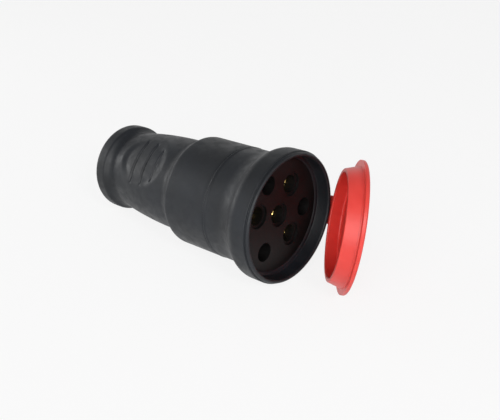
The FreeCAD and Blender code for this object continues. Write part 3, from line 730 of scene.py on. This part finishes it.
@dataclass
class RearHandle:
    """The rest of the barrel, the shoulder, the neck with its grips and the rear bead.

    Radii are from the connector's axis, and distances back are from the rim.
    """

    barrel_mm: float = 29.6
    barrel_pitch_mm: float = 2.0
    shoulder_mm: float = 29.7
    neck_front_mm: float = 25.4
    neck_rear_mm: float = 21.9
    neck_arc_mm: float = 240.0
    neck_pitch_mm: float = 0.3
    bead_mm: float = 24.6
    spigot_mm: float = 27.3
    bore_mm: float = 25.3
    cavity_mm: float = 21.0
    entry_mm: float = 9.5
    spigot_front_mm: float = 24.6
    seam_mm: float = 32.6
    seam_rounding_mm: float = 0.5
    seam_steps: int = 4
    shoulder_front_mm: float = 58.5
    shoulder_end_mm: float = 67.5
    shoulder_steps: int = 10
    cavity_front_mm: float = 65.5
    bead_front_mm: float = 111.0
    bead_sweep_mm: float = 6.0
    bead_sweep_steps: int = 8
    bead_pitch_mm: float = 1.5
    bead_rounding_mm: float = 2.6
    bead_rounding_steps: int = 10
    rear_end_mm: float = 124.0
    rear_pitch_mm: float = 3.0
    entry_rounding_mm: float = 1.5
    entry_rounding_steps: int = 6
    entry_front_mm: float = 104.0
    room_end_mm: float = 91.0
    sweep_share: float = 0.3
    grip_angle_deg: float = -45.0
    grip_middle_mm: float = 88.2
    grip_half_length_mm: float = 17.6
    grip_half_width_mm: float = 15.6
    grip_depth_mm: float = 1.25
    grip_least_depth_mm: float = 0.35
    grip_floor_mm: float = 34.0
    grip_wall_mm: float = 4.2
    grooves: tuple[GripGroove, ...] = (
        GripGroove(offset_mm=5.6, length_mm=26.0, depth_mm=1.6, half_width_mm=1.1),
        GripGroove(offset_mm=-2.8, length_mm=25.5, depth_mm=1.6, half_width_mm=1.0),
        GripGroove(offset_mm=-10.6, length_mm=19.5, depth_mm=1.2, half_width_mm=0.8),
    )
    groove_steepness: float = 2.2
    spokes: int = 300

    def neck(self) -> Profile:
        """Draw the neck's long arc between the shoulder and the bead.

        Returns:
            Its outline, its start left out.
        """
        length = self.bead_front_mm - self.shoulder_end_mm
        taper = self.neck_front_mm - self.neck_rear_mm
        half_chord = math.hypot(length, taper) / 2
        lean = math.sqrt(self.neck_arc_mm ** 2 - half_chord ** 2) / half_chord / 2
        centre_radius = self.neck_front_mm - taper / 2 - lean * length
        centre_back = self.shoulder_end_mm + length / 2 - lean * taper
        count = math.ceil(length / self.neck_pitch_mm)
        backs = [self.shoulder_end_mm + length * step / count for step in range(1, count + 1)]
        return [(back, centre_radius + math.sqrt(self.neck_arc_mm ** 2 - (back - centre_back) ** 2))
                for back in backs]

    def outer(self) -> Profile:
        """Draw the outer side.

        Returns:
            Its outline, from the spigot's front over the barrel to the rear face.
        """
        ease = self.seam_rounding_mm
        barrel_start = (self.seam_mm + ease, self.barrel_mm)
        shoulder = (self.shoulder_front_mm, self.shoulder_mm)
        neck_start = (self.shoulder_end_mm, self.neck_front_mm)
        bead_start = (self.bead_front_mm, self.neck_rear_mm)
        bead_top = (self.bead_front_mm + self.bead_sweep_mm, self.bead_mm)
        rounding = self.bead_rounding_mm
        rounding_start = (self.rear_end_mm - rounding, self.bead_mm)
        entry_ease = self.entry_rounding_mm
        entry_edge = (self.rear_end_mm, self.entry_mm + entry_ease)
        points = [(self.spigot_front_mm, self.spigot_mm), (self.seam_mm, self.spigot_mm)]
        points += arc((barrel_start[0], self.barrel_mm - ease), (ease, ease), (90, 0), self.seam_steps)
        points += straight(barrel_start, shoulder, self.barrel_pitch_mm)
        points += sweep(shoulder, neck_start, self.sweep_share, self.shoulder_steps)
        points += self.neck()
        points += sweep(bead_start, bead_top, 1 - self.sweep_share, self.bead_sweep_steps)
        points += straight(bead_top, rounding_start, self.bead_pitch_mm)
        points += arc((rounding_start[0], self.bead_mm - rounding), (rounding, rounding),
                      (0, -90), self.bead_rounding_steps)[1:]
        points += straight(points[-1], entry_edge, self.rear_pitch_mm)
        points += arc((self.rear_end_mm - entry_ease, entry_edge[1]), (-entry_ease, -entry_ease),
                      (90, 0), self.entry_rounding_steps)[1:]
        return points

    def inner(self) -> Profile:
        """Draw the inner side.

        Returns:
            Its outline, from the cord's entry forwards to the spigot.
        """
        return [
            (self.entry_front_mm, self.entry_mm),
            (self.room_end_mm, self.cavity_mm),
            (self.cavity_front_mm, self.cavity_mm),
            (self.shoulder_front_mm, self.bore_mm),
            (self.spigot_front_mm, self.bore_mm),
        ]

    def grips(self, back: float, radius: float, angle: float) -> float:
        """Sink the two finger grips, which lie opposite each other, into the outer side.

        Args:
            back: Distance behind the rim, in mm.
            radius: The turned outline's radius there, in mm.
            angle: Angle from up to the far side, in degrees.

        Returns:
            The radius in mm.
        """
        along = back - self.grip_middle_mm
        off = math.radians((angle - self.grip_angle_deg + 90.0) % 180.0 - 90.0)
        across = radius * math.sin(off)
        reach = math.hypot(along / self.grip_half_length_mm, across / self.grip_half_width_mm)
        if reach > 1.0:
            return radius
        inside = (1.0 - reach) * self.grip_half_width_mm / self.grip_wall_mm
        # The floor is flatter across than the neck, so it comes up towards the sides.
        rise = across * across / 2 * (1.0 / radius - 1.0 / self.grip_floor_mm)
        sunk = max(self.grip_depth_mm - rise, self.grip_least_depth_mm) * soft_step(inside)
        for groove in self.grooves:
            share = 2.0 * across / groove.length_mm
            if abs(share) >= 1.0:
                continue
            flank = 1.0 - abs(along - groove.offset_mm) / groove.half_width_mm
            deepest = groove.depth_mm * math.sqrt(1.0 - share * share)
            sunk += deepest * soft_step(flank * self.groove_steepness)
        return radius - sunk

    def build(self) -> bpy.types.Object:
        """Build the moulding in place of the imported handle.

        Returns:
            The piece.
        """
        mesh = turned_skin("rear_handle_moulding", self.outer(), self.inner(), self.grips, self.spokes)
        handle = make_piece("rear_handle_moulding", mesh, RUBBER)
        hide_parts("rear_handle")
        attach(handle, "root")
        return handle


@dataclass
class ContactUnit:
    """The socket insert and the carrier with their sleeves, springs and screws."""

    def build(self) -> None:
        """Give each kind of piece its material."""
        dress(["socket_insert", "contact_carrier"], PHENOLIC)
        dress(nodes_like("contact_sleeve"), BRASS)
        dress(nodes_like("sleeve_spring"), SPRING_STEEL)
        dress(nodes_like("terminal_screw", "insert_screw"), ZINC_STEEL)


@dataclass
class CordClamp:
    """The clamp that holds the cord inside the handle."""

    def build(self) -> None:
        """Give the pressed pieces and their screws zinc plate."""
        dress(nodes_like("cord_clamp", "clamp_screw"), ZINC_STEEL)


class StrapStep(NamedTuple):
    """One cross-section of the strap: first its middle, then its directions and thickness."""

    place: Vector
    across: Vector
    outwards: Vector
    thickness_mm: float


@dataclass
class CapAndStrap:
    """The red cap and the strap that it hangs on, one moulding in the real thing.

    Distances are the strap's own, in the plane through the connector's axis and
    the hinge: a radius from the axis and how far back from the rim it lies.
    """

    width_mm: float = 15.7
    foot_mm: float = 1.8
    web_mm: float = 1.35
    tab_mm: float = 1.6
    foot_radius_mm: float = 37.1
    foot_end_mm: float = 22.5
    foot_steps: int = 3
    bend_start_mm: float = 15.6
    bend_corner_mm: float = 13.2
    landing_mm: float = 4.6
    tab_lean_deg: float = 24.9
    edge_mm: float = 0.5
    edge_share: float = 0.8
    edge_turns_deg: tuple[float, ...] = (0.0, 30.0, 60.0, 90.0)
    steps: int = 8

    def hinge(self) -> dict[str, object]:
        """Return the cap's joint from the frame."""
        return next(joint for joint in frame["joints"] if joint["name"] == "cap_hinge")

    def line(self) -> list[StrapStep]:
        """Work out the strap's course: its foot, the bend up to the hinge, and its end on the tab.

        Returns:
            Its cross-sections, from the end of its foot to the cap's tab.
        """
        joint = self.hinge()
        axis = Vector(joint["axis"]).normalized()
        pivot = Vector(joint["pos_m"])
        spoke = AXES.back.cross(axis).normalized()
        across = spoke.cross(AXES.back).normalized()
        opened = Matrix.Rotation(-math.radians(joint["range_deg"][0]), 3, axis)
        lean = math.radians(self.tab_lean_deg)
        forward = opened @ (-AXES.back * math.cos(lean) - spoke * math.sin(lean))
        level = AXES.rim + spoke * (self.foot_radius_mm * MM)
        foot = level + AXES.back * (self.foot_end_mm * MM)
        start = level + AXES.back * (self.bend_start_mm * MM)
        corner = level + AXES.back * (self.bend_corner_mm * MM)
        line = [StrapStep(foot.lerp(start, step / self.foot_steps), across, spoke, self.foot_mm)
                for step in range(self.foot_steps)]
        for step in range(self.steps + 1):
            share = step / self.steps
            place = start.lerp(corner, share).lerp(corner.lerp(pivot, share), share)
            ahead = (corner - start).lerp(pivot - corner, share).normalized()
            thickness = self.foot_mm + (self.web_mm - self.foot_mm) * share
            line.append(StrapStep(place, across, across.cross(-ahead).normalized(), thickness))
        # Its width turns to the tab's own direction over the first half of the landing.
        swung = opened @ across
        for step in range(1, self.steps + 1):
            share = step / self.steps
            width = across.lerp(swung, min(share * 2, 1.0)).normalized()
            place = pivot + forward * (self.landing_mm * MM * share)
            thickness = self.web_mm + (self.tab_mm - self.web_mm) * share
            line.append(StrapStep(place, width, width.cross(-forward).normalized(), thickness))
        return line

    def section(self, step: StrapStep) -> list[Vector]:
        """Draw one ring of the strap: a flat bar with eased edges.

        Args:
            step: The cross-section's place, directions and thickness.

        Returns:
            The ring's points.
        """
        half_width = self.width_mm * MM / 2
        half = step.thickness_mm * MM / 2
        edge = min(self.edge_mm * MM, half * self.edge_share)
        points = []
        for along, rise, quarter in ((1, 1, 0), (-1, 1, 90), (-1, -1, 180), (1, -1, 270)):
            for turn in self.edge_turns_deg:
                angle = math.radians(quarter + turn)
                sideways = along * (half_width - edge) + edge * math.cos(angle)
                upwards = rise * (half - edge) + edge * math.sin(angle)
                points.append(step.place + step.across * sideways + step.outwards * upwards)
        return points

    def build_strap(self) -> bpy.types.Object:
        """Build the strap as one skin that bends between the shell and the cap.

        Returns:
            The piece.
        """
        line = self.line()
        mesh = loft("cap_strap_moulding", [self.section(step) for step in line])
        strap = make_piece("cap_strap_moulding", mesh, RED_PLASTIC)
        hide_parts("cap_strap")
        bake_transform(strap)
        return strap

    def build(self) -> None:
        """Build the strap, and give the cap its plastic and the strap's screws their plate."""
        dress(["cap"], RED_PLASTIC)
        dress(nodes_like("strap_screw"), ZINC_STEEL)
        self.build_strap()


@dataclass
class Viewpoint:
    """The photograph's camera, placed from the rim's centre in the connector's directions."""

    front_mm: float = 188.81
    far_mm: float = -234.65
    up_mm: float = 158.50
    aim: tuple[float, float, float] = (-0.60525813, 0.6560849, -0.45079396)
    lens_mm: float = 49.919
    film_mm: float = 36.0
    clip_m: Pair = (0.01, 20.0)

    def build(self) -> bpy.types.Object:
        """Place the camera, level with the floor, and make it the scene's own.

        Returns:
            The camera.
        """
        data = bpy.data.cameras.new("camera")
        data.lens = self.lens_mm
        data.sensor_width = self.film_mm
        data.sensor_fit = "HORIZONTAL"
        data.clip_start, data.clip_end = self.clip_m
        camera = bpy.data.objects.new("camera", data)
        bpy.context.scene.collection.objects.link(camera)
        camera.location = (AXES.rim - AXES.back * (self.front_mm * MM)
                           + AXES.far * (self.far_mm * MM) + AXES.up * (self.up_mm * MM))
        forward = -AXES.back * self.aim[0] + AXES.far * self.aim[1] + AXES.up * self.aim[2]
        camera.rotation_euler = forward.to_track_quat("-Z", "Y").to_euler()
        bpy.context.scene.camera = camera
        return camera


@dataclass(frozen=True)
class SoftLamp:
    """A square soft lamp that points at the connector."""

    name: str
    place_m: tuple[float, float, float]
    side_m: float
    watts: float
    aim_m: tuple[float, float, float] = (0.0, 0.0, 0.03)

    def hang(self) -> bpy.types.Object:
        """Hang the lamp at its place.

        Returns:
            The lamp.
        """
        data = bpy.data.lights.new(self.name, "AREA")
        data.shape = "SQUARE"
        data.size = self.side_m
        data.energy = self.watts
        lamp = bpy.data.objects.new(self.name, data)
        bpy.context.scene.collection.objects.link(lamp)
        lamp.location = self.place_m
        way = Vector(self.aim_m) - Vector(self.place_m)
        lamp.rotation_euler = way.to_track_quat("-Z", "Y").to_euler()
        return lamp


@dataclass
class Studio:
    """A pale floor that curves up into a round wall, an even surround and soft lamps."""

    floor_m: float = 2.2
    wall_m: float = 1.6
    wall_bend_m: float = 0.6
    bend_steps: int = 12
    sides: int = 96
    paper_colour: str = "#ececec"
    veil: float = 0.85
    zenith: float = 0.30
    zenith_height: float = 0.8
    horizon: float = 0.42
    lamps: tuple[SoftLamp, ...] = (
        SoftLamp("key_lamp", place_m=(0.35, -0.95, 0.55), side_m=0.8, watts=7.0),
        SoftLamp("rear_lamp", place_m=(-0.62, -0.2, 0.16), side_m=0.2, watts=0.65),
        SoftLamp("front_lamp", place_m=(0.75, -0.35, 0.6), side_m=0.2, watts=3.0),
    )

    def paper(self) -> bpy.types.Material:
        """Make the floor's matt paper, which looks white and keeps the connector's shadow.

        Returns:
            The material.
        """
        paper = bpy.data.materials.new("matt_paper")
        paper.use_nodes = True
        tree = paper.node_tree
        tree.nodes.clear()
        path = add_node(tree, "ShaderNodeLightPath")
        mirrored = add_node(tree, "ShaderNodeMath", {"operation": "MAXIMUM"},
                            {0: path.outputs["Is Glossy Ray"], 1: path.outputs["Is Transmission Ray"]})
        seen = add_node(tree, "ShaderNodeMath", {"operation": "MAXIMUM"},
                        {0: path.outputs["Is Camera Ray"], 1: mirrored.outputs[0]})
        share = add_node(tree, "ShaderNodeMath", {"operation": "MULTIPLY", 1: self.veil},
                         {0: seen.outputs[0]})
        matt = add_node(tree, "ShaderNodeBsdfDiffuse", {"Color": linear(self.paper_colour)})
        white = add_node(tree, "ShaderNodeEmission", {"Color": linear("#ffffff"), "Strength": 1.0})
        mix = add_node(tree, "ShaderNodeMixShader",
                       links={0: share.outputs[0], 1: matt.outputs[0], 2: white.outputs[0]})
        add_node(tree, "ShaderNodeOutputMaterial", links={"Surface": mix.outputs[0]})
        return paper

    def outline(self) -> Profile:
        """Draw the floor's edge and the wall's bend and top.

        Returns:
            Pairs of distance from the middle and height, in metres.
        """
        points = [(self.floor_m, 0.0)]
        for step in range(1, self.bend_steps + 1):
            angle = math.pi / 2 * step / self.bend_steps
            points.append((self.floor_m + self.wall_bend_m * math.sin(angle),
                           self.wall_bend_m * (1 - math.cos(angle))))
        points.append((points[-1][0], self.wall_m))
        return points

    def build_floor(self) -> bpy.types.Object:
        """Lay the floor at the height that the connector rests on, with the wall round it.

        Returns:
            The floor.
        """
        turns = [math.tau * side / self.sides for side in range(self.sides)]
        sheet = bmesh.new()
        rows = [[sheet.verts.new((reach * math.cos(turn), reach * math.sin(turn), height))
                 for turn in turns] for reach, height in self.outline()]
        sheet.faces.new(rows[0])
        for row, following in zip(rows, rows[1:]):
            for side in range(self.sides):
                nxt = (side + 1) % self.sides
                sheet.faces.new((row[side], following[side], following[nxt], row[nxt]))
        mesh = bpy.data.meshes.new("floor")
        sheet.to_mesh(mesh)
        sheet.free()
        mesh.shade_smooth()
        mesh.materials.append(self.paper())
        floor = bpy.data.objects.new("floor", mesh)
        bpy.context.scene.collection.objects.link(floor)
        return floor

    def build_world(self) -> None:
        """Surround the scene with even light, a little paler towards the horizon."""
        world = bpy.data.worlds.new("surround")
        bpy.context.scene.world = world
        world.use_nodes = True
        tree = world.node_tree
        tree.nodes.clear()
        way = add_node(tree, "ShaderNodeTexCoord").outputs["Generated"]
        height = add_node(tree, "ShaderNodeSeparateXYZ", links={0: way})
        strength = add_node(tree, "ShaderNodeMapRange",
                            {"From Max": self.zenith_height, "To Min": self.horizon,
                             "To Max": self.zenith},
                            {"Value": height.outputs["Z"]})
        light = add_node(tree, "ShaderNodeBackground", {"Color": linear("#ffffff")},
                         {"Strength": strength.outputs["Result"]})
        add_node(tree, "ShaderNodeOutputWorld", links={"Surface": light.outputs[0]})

    def build(self) -> None:
        """Build the floor, the surround and the lamps."""
        self.build_floor()
        self.build_world()
        for lamp in self.lamps:
            lamp.hang()


def write_sizes() -> None:
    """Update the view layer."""
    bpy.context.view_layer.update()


def set_view() -> None:
    """Use the plain view transform."""
    bpy.context.scene.view_settings.view_transform = "Standard"


def main() -> None:
    """Dress the connector, one sub-assembly after another, and set up the studio."""
    logging.basicConfig(level=logging.INFO, format="%(name)s: %(message)s")
    steps: list[tuple[str, Callable[[], object]]] = [
        ("camera", Viewpoint().build),
        ("front shell", FrontShell().build),
        ("rear handle", RearHandle().build),
        ("contact unit", ContactUnit().build),
        ("cord clamp", CordClamp().build),
        ("cap and strap", CapAndStrap().build),
        ("studio", Studio().build),
        ("view", set_view),
        ("sizes", write_sizes),
    ]
    for name, step in steps:
        LOG.info("building: %s", name)
        step()


if __name__ == "__main__":
    main()
